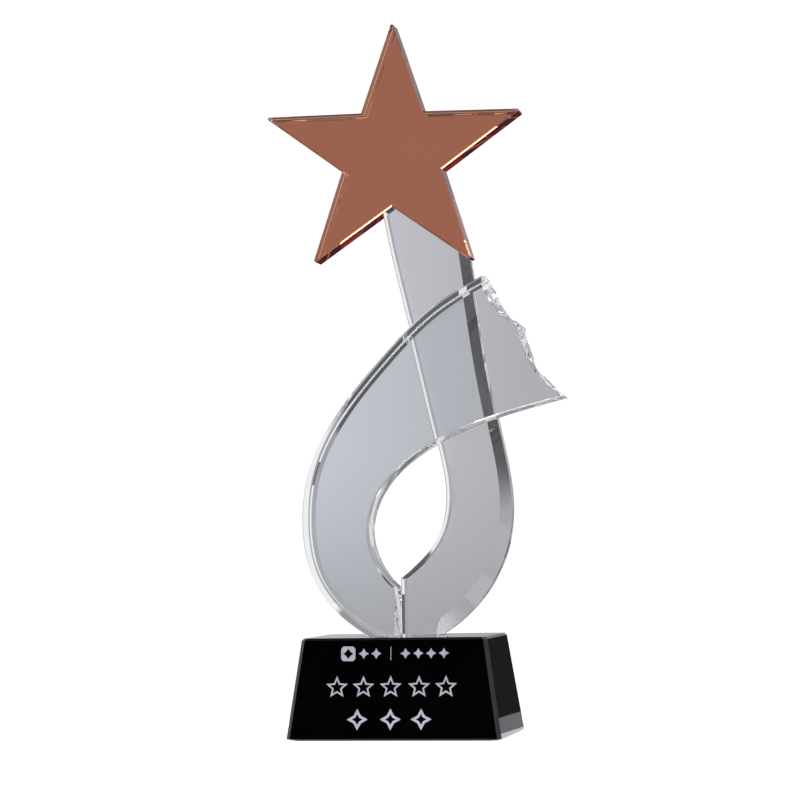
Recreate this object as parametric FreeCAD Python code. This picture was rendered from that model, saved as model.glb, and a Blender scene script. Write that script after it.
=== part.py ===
import FreeCAD, Part
import math
import os
from FreeCAD import Vector

# Star trophy: a black crystal base, two clear crystal plates that cross to form a teardrop loop, and a star.
# Millimetres. +Z is up, the front faces -Y, and the felt pad rests on Z = 0.

# base
BASE_BOTTOM_W = 89.4
BASE_BOTTOM_D = 60.0
BASE_TOP_W = 77.3
BASE_TOP_D = 50.0
BASE_TOP_Z = 41.5
BASE_CORNER_CUT = 1.6
BASE_TOP_CHAMFER = 0.9
PAD_THICKNESS = 0.5
PAD_INSET = 2.0

# glue layers
GLUE = 0.2

# front ribbon, in the front layer
RIBBON_BACK_Y = -GLUE
RIBBON_THICKNESS = 15.0
RIBBON_FRONT_Y = RIBBON_BACK_Y - RIBBON_THICKNESS
RIBBON_BEVEL_D = 3.0
RIBBON_BACK_BEVEL = 0.85

# rear stem, in the rear layer
STEM_THICKNESS = 12.4
STEM_LEFT_BEVEL_W = 1.8
STEM_LEFT_BEVEL_D = 2.2
STEM_RIGHT_BEVEL_D = 6.0
STEM_LEFT_BACK_W = 1.3
STEM_LEFT_BACK_D = 0.65

# star
STAR_CENTRE_X = -2.6
STAR_CENTRE_Z = 243.9
STAR_RADIUS = 56.8
STAR_INNER_RATIO = 0.39
STAR_WIDTH_FACTOR = 1.028
STAR_TURN = -0.95
STAR_THICKNESS = 10.0
STAR_BEVEL = 0.5
STAR_TIP_FLAT = 1.0
COATING = 0.1

ARRIS = 0.6
SOFT_ARRIS_W = 0.9
SOFT_ARRIS_D = 0.3
EDGE_ARRIS_W = 0.35
EDGE_ARRIS_D = 0.55
FOOT_Z = BASE_TOP_Z + GLUE
FAR = 140.0

# engraving
POCKET_DEPTH = 0.3
INFILL_DEPTH = 0.26

# Outer edge of the front ribbon, from beyond the swallowtail tip round the left side to below the foot,
# with the bevel width at each point.
RIBBON_OUTER = [(50.0, 195.6), (38.4, 190.1), (17.4, 178.3), (-6.6, 156.3), (-28.3, 129.7), (-38.2, 108.5),
                (-40.6, 90.0), (-36.6, 66.4), (-26.6, 51.8), (-12.6, 41.2), (-2.0, 35.0)]
RIBBON_BEVEL_W = [3.7, 3.7, 3.7, 3.8, 4.1, 4.5, 4.7, 4.7, 4.7, 4.7, 4.7]

# Inner edge of the front ribbon: up the foot cut, round the loop, then along the lower edge past the tip.
RIBBON_CUT_X = -1.5
RIBBON_HOLE = [(RIBBON_CUT_X, 62.0), (-9.3, 72.4), (-12.3, 85.0), (-5.7, 103.6), (11.0, 118.1),
               (32.6, 128.3), (53.0, 134.4), (72.0, 138.9), (82.0, 140.9)]

# Swallowtail end of the front ribbon: two hollow arcs that meet in a cusp, and how far each point
# of its wall leans out to the right at the back.
TAIL = [(36.6, 194.5), (41.8, 176.6), (52.4, 167.8), (58.0, 150.4), (73.5, 137.0)]
TAIL_LEAN = [1.8, 3.2, 1.2, 1.2, 1.4]

# Left edge of the rear stem, from above the star joint round the loop, then down the foot cut.
STEM_CUT_X = -2.0
STEM_LEFT = [(-8.7, 229.6), (3.3, 170.7), (14.3, 122.6), (17.9, 97.6), (13.4, 81.2), (4.6, 71.0),
             (STEM_CUT_X, 65.7)]

# Right edge of the rear stem, from below the foot up to the star, with the bevel width at each point.
STEM_RIGHT = [(2.0, 36.0), (13.6, 41.2), (28.6, 53.0), (37.7, 65.4), (43.2, 79.5), (44.9, 96.0),
              (42.4, 116.5), (38.5, 135.5), (29.4, 196.0), (24.9, 226.0)]
STEM_RIGHT_BEVEL_W = [5.5, 5.5, 5.4, 5.0, 4.4, 4.0, 3.6, 3.5, 3.4, 3.4]


def at(point, y):
    return Vector(point[0], y, point[1])


def edge_through(points, y):
    """Straight edge through two points, smooth curve through more."""
    knots = [at(p, y) for p in points]
    if len(knots) == 2:
        return Part.makeLine(knots[0], knots[1])
    curve = Part.BSplineCurve()
    curve.interpolate(knots)
    return curve.toShape()


def tangents(points):
    """Unit direction of the smooth curve at each of its points."""
    if len(points) == 2:
        d = at(points[1], 0) - at(points[0], 0)
        d.normalize()
        return [(d.x, d.z), (d.x, d.z)]
    curve = Part.BSplineCurve()
    curve.interpolate([at(p, 0) for p in points])
    out = []
    for p in points:
        d = curve.tangent(curve.parameter(at(p, 0)))[0]
        out.append((d.x, d.z))
    return out


def inset(stretches, widths):
    """Move a chain of stretches toward its left side; corners between stretches are mitred."""
    moved = []
    for points, width in zip(stretches, widths):
        new = []
        for k, (p, t) in enumerate(zip(points, tangents(points))):
            w = width[k] if isinstance(width, list) else width
            new.append((p[0] - t[1] * w, p[1] + t[0] * w))
        moved.append(new)
    for i in range(len(stretches) - 1):
        a = tangents(stretches[i])[-1]
        b = tangents(stretches[i + 1])[0]
        w = widths[i][-1] if isinstance(widths[i], list) else widths[i]
        p = stretches[i][-1]
        k = w / (1.0 + a[0] * b[0] + a[1] * b[1])
        corner = (p[0] - (a[1] + b[1]) * k, p[1] + (a[0] + b[0]) * k)
        moved[i][-1] = corner
        moved[i + 1][0] = corner
    return moved


def ring(stretches, far, y):
    """Closed wire: the chain of stretches, then far corners back to its start."""
    edges = [edge_through(s, y) for s in stretches]
    corners = [stretches[-1][-1]] + far + [stretches[0][0]]
    for a, b in zip(corners, corners[1:]):
        edges.append(Part.makeLine(at(a, y), at(b, y)))
    return Part.Wire(edges)


def less(widths, amount):
    """Bevel widths reduced by an amount, for each stretch."""
    return [[w - amount for w in width] if isinstance(width, list) else width - amount for width in widths]


def scaled(widths, factor):
    """Bevel widths times a factor, for each stretch."""
    return [[w * factor for w in width] if isinstance(width, list) else width * factor for width in widths]


def loft_through(rings):
    block = Part.makeLoft(rings, True, True)
    if block.Volume < 0:
        block.reverse()
    return block


def cut_edge_block(stretches, far, front, back, widths, depth):
    """Block whose one wall follows the chain; bevelled at the front, small arris at the back."""
    tiny = [ARRIS] * len(stretches)
    rings = [ring(inset(stretches, widths), far, front)]
    rings.append(ring(stretches, far, front + depth))
    rings.append(ring(stretches, far, back - ARRIS))
    rings.append(ring(inset(stretches, tiny), far, back))
    return loft_through(rings)


def stem_left_block(stretches, far):
    """Block whose one wall follows the stem's left edge, bevelled at the front and the back."""
    front = [STEM_LEFT_BEVEL_W] * len(stretches)
    steep = [EDGE_ARRIS_W] * len(stretches)
    back = [STEM_LEFT_BACK_W] * len(stretches)
    rings = [ring(inset(stretches, front), far, 0)]
    rings.append(ring(inset(stretches, steep), far, STEM_LEFT_BEVEL_D - EDGE_ARRIS_D))
    rings.append(ring(stretches, far, STEM_LEFT_BEVEL_D))
    rings.append(ring(stretches, far, STEM_THICKNESS - STEM_LEFT_BACK_D))
    rings.append(ring(inset(stretches, back), far, STEM_THICKNESS))
    return loft_through(rings)


def ribbon_outer_block(stretches, far, widths):
    """Block whose one wall follows the ribbon's outer edge, bevelled at the front and the back."""
    front = RIBBON_FRONT_Y
    back = RIBBON_BACK_Y
    steep = [EDGE_ARRIS_W] * len(stretches)
    rings = [ring(inset(stretches, widths), far, front)]
    rings.append(ring(inset(stretches, less(widths, SOFT_ARRIS_W)), far, front + SOFT_ARRIS_D))
    rings.append(ring(inset(stretches, steep), far, front + RIBBON_BEVEL_D - EDGE_ARRIS_D))
    rings.append(ring(stretches, far, front + RIBBON_BEVEL_D))
    rings.append(ring(stretches, far, back - RIBBON_BEVEL_D))
    rings.append(ring(inset(stretches, scaled(widths, RIBBON_BACK_BEVEL)), far, back))
    return loft_through(rings)


def plate(wire_points, front, back):
    """Flat plate from a closed list of corners."""
    corners = [at(p, front) for p in wire_points]
    corners.append(corners[0])
    face = Part.Face(Part.makePolygon(corners))
    return face.extrude(Vector(0, back - front, 0))


def above_foot(shape):
    lower = Part.makeBox(300, 100, 100, Vector(-150, -50, FOOT_Z - 100))
    return shape.cut(lower)


def base_ring(width, depth, cut, z):
    w = width / 2
    d = depth / 2
    pts = [(-w + cut, -d), (w - cut, -d), (w, -d + cut), (w, d - cut),
           (w - cut, d), (-w + cut, d), (-w, d - cut), (-w, -d + cut)]
    corners = [Vector(x, y, z) for x, y in pts]
    corners.append(corners[0])
    return Part.makePolygon(corners)


def size_at(z):
    """Width and depth of the tapered base at a height."""
    f = z / BASE_TOP_Z
    width = BASE_BOTTOM_W + (BASE_TOP_W - BASE_BOTTOM_W) * f
    depth = BASE_BOTTOM_D + (BASE_TOP_D - BASE_BOTTOM_D) * f
    return width, depth


def base_body():
    """Tapered black block with cut corner edges and a chamfered top edge."""
    low = PAD_THICKNESS
    high = BASE_TOP_Z - BASE_TOP_CHAMFER
    rings = []
    w, d = size_at(low)
    rings.append(base_ring(w - 0.6, d - 0.6, BASE_CORNER_CUT, low))
    w, d = size_at(low + 0.3)
    rings.append(base_ring(w, d, BASE_CORNER_CUT, low + 0.3))
    w, d = size_at(high)
    rings.append(base_ring(w, d, BASE_CORNER_CUT, high))
    c = 2 * BASE_TOP_CHAMFER
    rings.append(base_ring(w - c, d - c, BASE_CORNER_CUT, BASE_TOP_Z))
    return Part.makeLoft(rings, True, True)


def felt_pad():
    w, d = size_at(0)
    face = Part.Face(base_ring(w - 2 * PAD_INSET, d - 2 * PAD_INSET, 3.0, 0))
    return face.extrude(Vector(0, 0, PAD_THICKNESS))


def tail_points(y):
    """The swallowtail points at a depth, leaning out toward the back."""
    f = (y - RIBBON_FRONT_Y) / RIBBON_THICKNESS
    return [(p[0] + lean * f, p[1]) for p, lean in zip(TAIL, TAIL_LEAN)]


def tail_arcs(y):
    top, upper_mid, cusp, lower_mid, tip = [at(p, y) for p in tail_points(y)]
    return Part.Arc(top, upper_mid, cusp), Part.Arc(cusp, lower_mid, tip)


def tail_ring(y):
    """Closed wire round everything to the right of the swallowtail end."""
    upper, lower = tail_arcs(y)
    edges = [upper.toShape(), lower.toShape()]
    points = tail_points(y)
    corners = [points[-1], (FAR + 20, 120), (FAR + 20, 260), points[0]]
    for a, b in zip(corners, corners[1:]):
        edges.append(Part.makeLine(at(a, y), at(b, y)))
    return Part.Wire(edges)


def tail_cutter():
    margin = 5.0
    return loft_through([tail_ring(RIBBON_FRONT_Y - margin), tail_ring(RIBBON_BACK_Y + margin)])


def tail_chips():
    """Round scoops struck out of the swallowtail wall, behind its front edge."""
    chips = []
    for side in (0, 1):
        n = 6 + 2 * side
        for i in range(n):
            back = RIBBON_THICKNESS * (0.60 + 0.28 * math.sin(2.0 * i + 0.6 + side))
            arc = tail_arcs(RIBBON_FRONT_Y + back)[side]
            s = (i + 0.5) / n
            p = arc.value(arc.FirstParameter + (arc.LastParameter - arc.FirstParameter) * s)
            out = arc.toShape().Curve.Center - p
            out.normalize()
            radius = 6.5 + 2.5 * math.sin(2.4 * i + side)
            bite = 0.9 + 0.3 * math.cos(1.7 * i + 2 * side)
            chips.append(Part.makeSphere(radius, p + out * (radius - bite)))
    return chips


def front_ribbon():
    """Left half of the loop; crosses in front of the stem and ends in the chipped swallowtail."""
    far = [(FAR, 20), (FAR, 230)]
    front = RIBBON_FRONT_Y
    back = RIBBON_BACK_Y
    body = ribbon_outer_block([RIBBON_OUTER], far, [RIBBON_BEVEL_W])
    foot = [(RIBBON_CUT_X, 30.0), RIBBON_HOLE[0]]
    far = [(95, 240), (-FAR, 240), (-FAR, 20)]
    inner = cut_edge_block([foot, RIBBON_HOLE], far, front, back, [ARRIS, ARRIS], ARRIS)
    body = body.common(inner).cut(tail_cutter())
    body = above_foot(body)
    for chip in tail_chips():
        body = body.cut(chip)
    return body


def stem_column():
    """Right half of the loop and the rising stem, before its top is fitted to the star."""
    foot = [STEM_LEFT[-1], (STEM_CUT_X, 30.0)]
    far = [(FAR, 20), (FAR, 240)]
    left = stem_left_block([STEM_LEFT, foot], far)
    far = [(-FAR, 240), (-FAR, 20)]
    right = cut_edge_block([STEM_RIGHT], far, 0, STEM_THICKNESS, [STEM_RIGHT_BEVEL_W], STEM_RIGHT_BEVEL_D)
    return above_foot(left.common(right))


def star_corners(grow):
    """Corners of the star grown sideways by a distance, each tip cut off square."""
    turn = math.radians(STAR_TURN)
    pts = []
    for i in range(10):
        r = STAR_RADIUS if i % 2 == 0 else STAR_RADIUS * STAR_INNER_RATIO
        a = math.radians(90 + 36 * i)
        x = r * math.cos(a) * STAR_WIDTH_FACTOR
        z = r * math.sin(a)
        pts.append((STAR_CENTRE_X + x * math.cos(turn) - z * math.sin(turn),
                    STAR_CENTRE_Z + x * math.sin(turn) + z * math.cos(turn)))
    lines = []
    for i in range(10):
        p = Vector(pts[i][0], 0, pts[i][1])
        q = Vector(pts[(i + 1) % 10][0], 0, pts[(i + 1) % 10][1])
        d = q - p
        d.normalize()
        lines.append((p + Vector(d.z, 0, -d.x) * grow, d))
    out = []
    for i in range(10):
        p, d = lines[i - 1]
        q, e = lines[i]
        k = ((q.x - p.x) * e.z - (q.z - p.z) * e.x) / (d.x * e.z - d.z * e.x)
        corner = p + d * k
        if i % 2:
            out.append((corner.x, corner.z))
        else:
            tip_angle = math.acos(-(d.x * e.x + d.z * e.z))
            reach = STAR_TIP_FLAT / 2 / math.sin(tip_angle / 2)
            out.append((corner.x - d.x * reach, corner.z - d.z * reach))
            out.append((corner.x + e.x * reach, corner.z + e.z * reach))
    return out


def star_ring(grow, y):
    corners = [at(p, y) for p in star_corners(grow)]
    corners.append(corners[0])
    return Part.makePolygon(corners)


def star():
    rings = [star_ring(-STAR_BEVEL, 0), star_ring(0, STAR_BEVEL)]
    rings.append(star_ring(0, STAR_THICKNESS))
    return Part.makeLoft(rings, True, True)


def coating():
    face = Part.Face(star_ring(-COATING, STAR_THICKNESS))
    return face.extrude(Vector(0, COATING, 0))


def above_star_edge(grow):
    """Everything above the star's two lower edges, moved down by a gap."""
    left_tip, notch, right_tip = star_corners(grow)[7:10]
    pts = [left_tip, notch, right_tip, (FAR, right_tip[1]), (FAR, 260), (-FAR, 260), (-FAR, left_tip[1])]
    return plate(pts, -5, 35)


def star_glue(column):
    """Glue between the stem top and the star edge, kept clear of both bevels."""
    slab = Part.makeBox(300, STAR_THICKNESS - 2 * ARRIS - STAR_BEVEL, 60,
                        Vector(-150, STAR_BEVEL + ARRIS, STAR_CENTRE_Z - 60))
    return column.common(above_star_edge(GLUE)).common(slab).cut(above_star_edge(0))


def crossing_glue(ribbon, stem):
    """Glue where the back of the ribbon lies on the face of the stem."""
    deep = Part.makeBox(300, GLUE, 200, Vector(-150, RIBBON_BACK_Y - ARRIS - 1, 70))
    upper = ribbon.common(deep)
    upper.translate(Vector(0, ARRIS + 1, 0))
    shallow = Part.makeBox(300, GLUE, 200, Vector(-150, 0, 70))
    lower = stem.common(shallow)
    lower.translate(Vector(0, -GLUE, 0))
    return upper.common(lower)


def foot_glue(piece):
    """Glue film under a foot, with the foot's own outline."""
    slab = Part.makeBox(300, 100, GLUE, Vector(-150, -50, FOOT_Z))
    film = piece.common(slab)
    film.translate(Vector(0, 0, -GLUE))
    return film


def on_front(points, depth):
    """Closed shape on the sloping front face of the base, sunk into it by a depth."""
    slope = math.atan2((BASE_BOTTOM_D - BASE_TOP_D) / 2, BASE_TOP_Z)
    up = Vector(0, math.sin(slope), math.cos(slope))
    inward = Vector(0, math.cos(slope), -math.sin(slope))
    origin = Vector(0, -BASE_BOTTOM_D / 2, 0)
    start = inward * POCKET_DEPTH
    corners = [origin + start + Vector(1, 0, 0) * u + up * v for u, v in points]
    corners.append(corners[0])
    return Part.Face(Part.makePolygon(corners)).extrude(inward * -depth)


def star_mark(u, v, r):
    pts = []
    for i in range(10):
        k = r if i % 2 == 0 else r * 0.45
        a = math.radians(90 + 36 * i)
        pts.append((u + k * math.cos(a), v + k * math.sin(a)))
    return pts


def four_point_mark(u, v, r, waist):
    pts = []
    for i in range(8):
        k = r if i % 2 == 0 else r * waist
        a = math.radians(90 + 45 * i)
        pts.append((u + k * math.cos(a), v + k * math.sin(a)))
    return pts


def bar_mark(u, v, w, h):
    return [(u - w / 2, v - h / 2), (u + w / 2, v - h / 2), (u + w / 2, v + h / 2), (u - w / 2, v + h / 2)]


def cut_square_mark(u, v, s, c):
    h = s / 2
    return [(u - h + c, v - h), (u + h - c, v - h), (u + h, v - h + c), (u + h, v + h - c),
            (u + h - c, v + h), (u - h + c, v + h), (u - h, v + h - c), (u - h, v - h + c)]


def marks(depth):
    """All engraved marks at a depth, by node."""
    square = on_front(cut_square_mark(-18.7, 35.4, 6.0, 1.0), depth)
    hole = on_front(four_point_mark(-18.7, 35.4, 2.1, 0.6), depth + 2)
    emblem = square.cut(hole)
    header = []
    for u in (-12.2, -7.0, 5.2, 10.5, 15.8, 21.1):
        header.append(on_front(four_point_mark(u, 35.4, 2.2, 0.5), depth))
    divider = on_front(bar_mark(-0.9, 35.4, 0.3, 5.6), depth)
    title = []
    for u in (-23.3, -12.2, -0.9, 10.9, 22.0):
        outline = on_front(star_mark(u, 21.7, 4.8), depth)
        title.append(outline.cut(on_front(star_mark(u, 21.7, 3.0), depth + 2)))
    name = []
    for u in (-14.7, -0.9, 11.8):
        outline = on_front(four_point_mark(u, 8.7, 4.4, 0.5), depth)
        name.append(outline.cut(on_front(four_point_mark(u, 8.7, 2.2, 0.5), depth + 2)))
    return {"emblem_infill": [emblem], "header_marks_infill": header, "divider_infill": [divider],
            "title_row_infill": title, "name_row_infill": name}


def save(name, shapes):
    group = shapes[0] if len(shapes) == 1 else Part.makeCompound(shapes)
    group.tessellate(0.05)
    group.exportStep("parts/" + name + ".step")
    good = all(s.isValid() and len(s.Solids) == 1 for s in shapes)
    print(name, "solids", len(group.Solids), "valid", good, "volume", round(group.Volume, 2),
          "box", [round(v, 2) for v in (group.BoundBox.XMin, group.BoundBox.XMax, group.BoundBox.YMin,
                                        group.BoundBox.YMax, group.BoundBox.ZMin, group.BoundBox.ZMax)])


def main():
    os.makedirs("parts", exist_ok=True)
    base = base_body()
    for shapes in marks(POCKET_DEPTH + 2).values():
        for shape in shapes:
            base = base.cut(shape)
    save("base_block", [base.Solids[0]])
    save("base_felt_pad", [felt_pad()])
    for name, shapes in marks(INFILL_DEPTH).items():
        save(name, shapes)
    ribbon = front_ribbon()
    column = stem_column()
    stem = column.cut(above_star_edge(GLUE))
    save("front_ribbon", ribbon.Solids)
    save("rear_stem", stem.Solids)
    save("star_crystal", [star()])
    save("star_copper_coating", [coating()])
    save("bond_star_to_stem", star_glue(column).Solids)
    save("bond_ribbon_crossing", crossing_glue(ribbon, stem).Solids)
    save("bond_front_ribbon_foot", foot_glue(ribbon).Solids)
    save("bond_rear_stem_foot", foot_glue(stem).Solids)


main()
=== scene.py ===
import math
import bpy
from mathutils import Matrix

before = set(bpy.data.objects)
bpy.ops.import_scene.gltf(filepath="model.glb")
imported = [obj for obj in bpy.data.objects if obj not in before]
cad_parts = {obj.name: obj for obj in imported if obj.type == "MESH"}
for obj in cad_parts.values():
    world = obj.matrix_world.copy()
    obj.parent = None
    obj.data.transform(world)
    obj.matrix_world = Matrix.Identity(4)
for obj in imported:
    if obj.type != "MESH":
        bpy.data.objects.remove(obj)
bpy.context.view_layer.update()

# Star trophy: materials, studio and camera. Metres, +Z up, the front faces -Y.

scene = bpy.context.scene

# materials
CRYSTAL_IOR = 1.52
BLACK_CRYSTAL_IOR = 1.5
ADHESIVE_IOR = 1.50
CONTACT_REACH = 0.00002

# stage
TABLE_RADIUS = 0.12
TABLE_GLOW = 0.75
BACKGROUND_LEVEL = 1.05
STAR_CARD_LEVEL = 0.395
SIDE_FLAG_LEVEL = 0.03

# camera
CAMERA_PLACE = (0.21916, -1.03992, 0.07696)
CAMERA_YAW = math.radians(11.94)
CAMERA_PITCH = math.radians(3.39)
CAMERA_ROLL = math.radians(0.977)
CAMERA_LENS_MM = 114.24
SENSOR_WIDTH_MM = 36.0

LIGHT_BOUNCES = 32
GLOSSY_BOUNCES = 16


# ---------------------------------------------------------------- node helpers
class Graph:
    """Small helper that adds and links shader nodes."""

    def __init__(self, tree):
        self.tree = tree

    def node(self, kind, **values):
        made = self.tree.nodes.new(kind)
        for key, value in values.items():
            setattr(made, key, value)
        return made

    def feed(self, socket, value):
        if value is None:
            return
        if isinstance(value, bpy.types.NodeSocket):
            self.tree.links.new(value, socket)
        else:
            socket.default_value = value

    def math(self, operation, a, b=None, c=None, clamp=False):
        made = self.node("ShaderNodeMath", operation=operation, use_clamp=clamp)
        for socket, value in zip(made.inputs, (a, b, c)):
            self.feed(socket, value)
        return made.outputs[0]

    def ramp(self, value, lo, hi, out_lo=0.0, out_hi=1.0, smooth=True):
        """Value taken from the range lo to hi into the range out_lo to out_hi."""
        made = self.node("ShaderNodeMapRange", interpolation_type="SMOOTHSTEP" if smooth else "LINEAR")
        self.feed(made.inputs["Value"], value)
        self.feed(made.inputs["From Min"], lo)
        self.feed(made.inputs["From Max"], hi)
        self.feed(made.inputs["To Min"], out_lo)
        self.feed(made.inputs["To Max"], out_hi)
        return made.outputs[0]

    def window(self, value, lo, hi, soft):
        """1 between lo and hi, fading to 0 over soft on each side."""
        rise = self.ramp(value, lo - soft, lo + soft)
        fall = self.ramp(value, hi - soft, hi + soft, 1.0, 0.0)
        return self.math("MULTIPLY", rise, fall)

    def mix(self, factor, a, b):
        made = self.node("ShaderNodeMix", data_type="RGBA")
        self.feed(made.inputs[0], factor)
        self.feed(made.inputs[6], a)
        self.feed(made.inputs[7], b)
        return made.outputs[2]

    def noise(self, vector, scale, detail=2.0, roughness=0.5):
        made = self.node("ShaderNodeTexNoise")
        self.feed(made.inputs["Vector"], vector)
        made.inputs["Scale"].default_value = scale
        made.inputs["Detail"].default_value = detail
        made.inputs["Roughness"].default_value = roughness
        return made.outputs[0]


def new_material(name):
    material = bpy.data.materials.new(name)
    material.use_nodes = True
    tree = material.node_tree
    tree.nodes.clear()
    graph = Graph(tree)
    shader = graph.node("ShaderNodeBsdfPrincipled")
    out = graph.node("ShaderNodeOutputMaterial")
    tree.links.new(shader.outputs[0], out.inputs["Surface"])
    return material, graph, shader


def bump(graph, shader, height, strength, distance):
    made = graph.node("ShaderNodeBump")
    made.inputs["Strength"].default_value = strength
    made.inputs["Distance"].default_value = distance
    graph.feed(made.inputs["Height"], height)
    graph.feed(shader.inputs["Normal"], made.outputs[0])


# ---------------------------------------------------------------- materials
def clear_crystal(name, tint):
    """Polished optical crystal: clear body with faint uneven polish."""
    material, graph, shader = new_material(name)
    place = graph.node("ShaderNodeTexCoord").outputs["Object"]
    haze = graph.noise(place, 60.0)
    shader.inputs["Transmission Weight"].default_value = 1.0
    shader.inputs["IOR"].default_value = CRYSTAL_IOR
    deeper = [channel * 0.985 for channel in tint[:3]] + [1.0]
    graph.feed(shader.inputs["Base Color"], graph.mix(haze, tint, deeper))
    graph.feed(shader.inputs["Roughness"], graph.ramp(haze, 0.3, 0.8, 0.0, 0.012))
    return material


def copper_mirror():
    """Rose-copper coating seen through the star, with a faint uneven tone."""
    material, graph, shader = new_material("copper_mirror")
    place = graph.node("ShaderNodeTexCoord").outputs["Object"]
    cloud = graph.noise(place, 14.0, 3.0)
    tone = graph.mix(cloud, (0.80, 0.285, 0.160, 1.0), (0.84, 0.315, 0.185, 1.0))
    graph.feed(shader.inputs["Base Color"], tone)
    shader.inputs["Metallic"].default_value = 1.0
    graph.feed(shader.inputs["Roughness"], graph.ramp(cloud, 0.2, 0.8, 0.02, 0.05))
    return material


def black_crystal():
    """Opaque black crystal with a high polish."""
    material, graph, shader = new_material("black_crystal")
    place = graph.node("ShaderNodeTexCoord").outputs["Object"]
    cloud = graph.noise(place, 45.0, 4.0)
    tone = graph.mix(cloud, (0.0006, 0.0007, 0.0008, 1.0), (0.0014, 0.0015, 0.0016, 1.0))
    graph.feed(shader.inputs["Base Color"], tone)
    graph.feed(shader.inputs["Roughness"], graph.ramp(cloud, 0.3, 0.8, 0.015, 0.04))
    shader.inputs["IOR"].default_value = BLACK_CRYSTAL_IOR
    return material


def silver_infill():
    """Silver paint brushed into the engraved marks."""
    material, graph, shader = new_material("silver_infill")
    place = graph.node("ShaderNodeTexCoord").outputs["Object"]
    grain = graph.noise(place, 1400.0, 4.0, 0.7)
    patch = graph.noise(place, 260.0, 2.0)
    tone = graph.mix(patch, (0.42, 0.40, 0.52, 1.0), (0.66, 0.65, 0.76, 1.0))
    graph.feed(shader.inputs["Base Color"], tone)
    shader.inputs["Metallic"].default_value = 0.25
    graph.feed(shader.inputs["Roughness"], graph.ramp(grain, 0.3, 0.7, 0.45, 0.65))
    bump(graph, shader, grain, 0.25, 0.0002)
    return material


def black_felt():
    """Short black felt with uneven fuzz."""
    material, graph, shader = new_material("black_felt")
    place = graph.node("ShaderNodeTexCoord").outputs["Object"]
    fuzz = graph.noise(place, 900.0, 5.0, 0.7)
    tone = graph.mix(fuzz, (0.012, 0.012, 0.013, 1.0), (0.04, 0.04, 0.043, 1.0))
    graph.feed(shader.inputs["Base Color"], tone)
    shader.inputs["Roughness"].default_value = 0.95
    shader.inputs["Sheen Weight"].default_value = 0.3
    bump(graph, shader, fuzz, 0.6, 0.0004)
    return material


def clear_adhesive():
    """Clear cured adhesive with faint clouding."""
    material, graph, shader = new_material("clear_adhesive")
    place = graph.node("ShaderNodeTexCoord").outputs["Object"]
    cloud = graph.noise(place, 120.0)
    shader.inputs["Transmission Weight"].default_value = 1.0
    shader.inputs["IOR"].default_value = ADHESIVE_IOR
    tone = graph.mix(cloud, (0.98, 0.985, 0.99, 1.0), (0.95, 0.955, 0.965, 1.0))
    graph.feed(shader.inputs["Base Color"], tone)
    graph.feed(shader.inputs["Roughness"], graph.ramp(cloud, 0.3, 0.8, 0.0, 0.02))
    return material


BONDS = ("bond_star_to_stem", "bond_ribbon_crossing", "bond_front_ribbon_foot", "bond_rear_stem_foot")
INFILLS = ("emblem_infill", "header_marks_infill", "divider_infill", "title_row_infill", "name_row_infill")
MATERIALS = {
    "base_block": black_crystal(),
    "base_felt_pad": black_felt(),
    "front_ribbon": clear_crystal("ribbon_crystal", (0.975, 0.985, 1.0, 1.0)),
    "rear_stem": clear_crystal("stem_crystal", (0.985, 0.99, 1.0, 1.0)),
    "star_crystal": clear_crystal("star_crystal", (0.99, 0.985, 0.98, 1.0)),
    "star_copper_coating": copper_mirror(),
}
MATERIALS.update(dict.fromkeys(BONDS, clear_adhesive()))
MATERIALS.update(dict.fromkeys(INFILLS, silver_infill()))
for part, material in MATERIALS.items():
    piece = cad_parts[part]
    piece.data.materials.clear()
    piece.data.materials.append(material)

# Films sit in optical contact with the crystal: each one reaches a hair into what it touches.
for part in BONDS + ("star_copper_coating",):
    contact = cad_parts[part].modifiers.new("optical_contact", "DISPLACE")
    contact.strength = CONTACT_REACH
    contact.mid_level = 0.0


# ---------------------------------------------------------------- studio
def grey(level, blue=0.0):
    """A grey light, cooler with more blue."""
    return (level * (1 - blue), level * (1 - 0.6 * blue), level * (1 + blue), 1.0)


SLATE = (0.045, 0.048, 0.070, 1.0)


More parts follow.
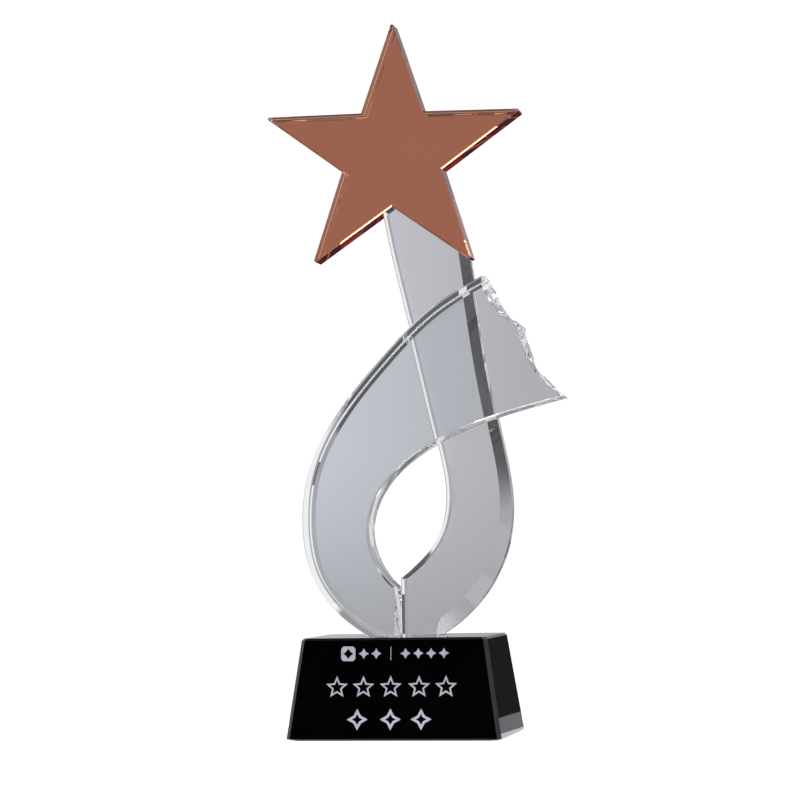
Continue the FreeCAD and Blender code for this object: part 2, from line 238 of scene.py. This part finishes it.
def panel_light(g, azimuth, elevation):
    """Light from each direction, in degrees: azimuth 0 is behind the object and 180 is in front of it."""
    around = g.math("ABSOLUTE", azimuth)

    def panel(under, turn, turn_span, turn_soft, height_span, height_soft, colour):
        """A panel with soft edges that covers what is under it."""
        across = g.window(turn, *turn_span, turn_soft)
        upright = g.window(elevation, *height_span, height_soft)
        return g.mix(g.math("MULTIPLY", across, upright), under, colour)

    # open studio and ceiling
    total = g.mix(g.ramp(elevation, -34.0, -26.0), grey(0.40), grey(0.88))
    total = g.mix(g.ramp(elevation, 58.0, 66.0), total, grey(0.22))
    # front: wall, key on the left, sweep, floor, and a flag in front of the base
    total = panel(total, around, (128.0, 185.0), 4.0, (8.0, 95.0), 2.0, grey(0.30))
    total = panel(total, azimuth, (-168.0, -134.0), 3.0, (20.0, 37.0), 2.0, grey(6.0))
    total = panel(total, around, (134.0, 185.0), 3.0, (-8.0, 8.0), 0.7, grey(0.40))
    total = panel(total, around, (120.0, 185.0), 3.0, (-80.0, -8.0), 1.0, grey(0.22))
    total = panel(total, around, (150.0, 185.0), 2.0, (8.3, 13.5), 0.5, grey(0.0))
    # right: two flags
    total = panel(total, azimuth, (29.0, 42.0), 2.0, (-14.0, 20.0), 3.0, grey(0.16))
    total = panel(total, azimuth, (60.0, 86.0), 3.0, (-8.0, 14.0), 3.0, grey(0.02))
    # back: a sweep that darkens towards its foot, lighter in its centre
    rise = g.ramp(elevation, -3.5, 2.5)
    backdrop = g.mix(rise, grey(0.36, 0.05), grey(0.42, 0.05))
    centre = g.mix(g.ramp(azimuth, -15.0, -9.0, smooth=False), grey(0.67, 0.06), grey(0.45, 0.02))
    centre = g.mix(rise, grey(0.36, 0.04), centre)
    total = panel(total, azimuth, (-58.0, 14.0), 2.0, (-12.5, 29.0), 1.5, backdrop)
    total = panel(total, azimuth, (-24.0, -1.0), 1.5, (-3.5, 15.0), 2.0, centre)
    # left flag, and the shade below the table
    total = panel(total, azimuth, (-56.0, -46.0), 2.0, (-6.0, 3.6), 0.8, grey(0.02))
    return panel(total, azimuth, (-35.0, 14.0), 1.0, (-80.0, -11.0), 0.8, SLATE)


def studio_world():
    """Soft panels at fixed directions. Rays straight from the camera see plain white instead."""
    world = bpy.data.worlds.new("studio")
    scene.world = world
    world.use_nodes = True
    tree = world.node_tree
    tree.nodes.clear()
    g = Graph(tree)
    split = g.node("ShaderNodeSeparateXYZ")
    g.feed(split.inputs[0], g.node("ShaderNodeTexCoord").outputs["Generated"])
    x, y, z = split.outputs
    azimuth = g.math("MULTIPLY", g.math("ARCTAN2", x, y), 180 / math.pi)
    elevation = g.math("MULTIPLY", g.math("ARCSINE", z), 180 / math.pi)
    light = g.node("ShaderNodeBackground")
    g.feed(light.inputs["Color"], panel_light(g, azimuth, elevation))
    white = g.node("ShaderNodeBackground")
    white.inputs["Color"].default_value = (1.0, 1.0, 1.0, 1.0)
    white.inputs["Strength"].default_value = BACKGROUND_LEVEL
    pick = g.node("ShaderNodeMixShader")
    g.feed(pick.inputs[0], g.node("ShaderNodeLightPath").outputs["Is Camera Ray"])
    g.feed(pick.inputs[1], light.outputs[0])
    g.feed(pick.inputs[2], white.outputs[0])
    out = g.node("ShaderNodeOutputWorld")
    g.feed(out.inputs["Surface"], pick.outputs[0])


def table_top():
    """Plain white table top."""
    bpy.ops.mesh.primitive_circle_add(vertices=96, radius=TABLE_RADIUS, fill_type="NGON", location=(0, 0, 0))
    floor = bpy.context.object
    floor.name = "table_top"
    material, _, shader = new_material("white_table")
    shader.inputs["Base Color"].default_value = (0.92, 0.92, 0.93, 1.0)
    shader.inputs["Roughness"].default_value = 0.6
    shader.inputs["Emission Color"].default_value = (1.0, 1.0, 1.0, 1.0)
    shader.inputs["Emission Strength"].default_value = TABLE_GLOW
    floor.data.materials.append(material)


def reflector_card(name, x, y, z, level):
    """Upright card, lit to a level, that only shows in glass and gloss."""
    corners = [(x[0], y, z[0]), (x[1], y, z[0]), (x[1], y, z[1]), (x[0], y, z[1])]
    mesh = bpy.data.meshes.new(name)
    mesh.from_pydata(corners, [], [(0, 1, 2, 3)])
    card = bpy.data.objects.new(name, mesh)
    scene.collection.objects.link(card)
    material = bpy.data.materials.new(name)
    material.use_nodes = True
    tree = material.node_tree
    tree.nodes.clear()
    glow = tree.nodes.new("ShaderNodeEmission")
    glow.inputs["Strength"].default_value = level
    out = tree.nodes.new("ShaderNodeOutputMaterial")
    tree.links.new(glow.outputs[0], out.inputs["Surface"])
    mesh.materials.append(material)
    card.visible_camera = False
    card.visible_shadow = False


def camera():
    """Camera a little to the right of the front, looking slightly up."""
    data = bpy.data.cameras.new("camera")
    data.lens = CAMERA_LENS_MM
    data.sensor_width = SENSOR_WIDTH_MM
    data.clip_start = 0.05
    data.clip_end = 50.0
    made = bpy.data.objects.new("camera", data)
    scene.collection.objects.link(made)
    level = Matrix.Rotation(CAMERA_YAW, 4, "Z") @ Matrix.Rotation(math.pi / 2 + CAMERA_PITCH, 4, "X")
    turn = level @ Matrix.Rotation(-CAMERA_ROLL, 4, "Z")
    made.matrix_world = Matrix.Translation(CAMERA_PLACE) @ turn
    scene.camera = made


studio_world()
table_top()
reflector_card("star_card", (-0.30, 0.04), -0.60, (0.235, 0.46), STAR_CARD_LEVEL)
reflector_card("side_flag", (0.10, 0.18), 0.47, (0.0015, 0.05), SIDE_FLAG_LEVEL)
camera()

scene.view_settings.view_transform = "Standard"
scene.view_settings.look = "None"
scene.view_settings.exposure = 0.0
scene.cycles.max_bounces = LIGHT_BOUNCES
scene.cycles.transmission_bounces = LIGHT_BOUNCES
scene.cycles.glossy_bounces = GLOSSY_BOUNCES
scene.cycles.use_denoising = True
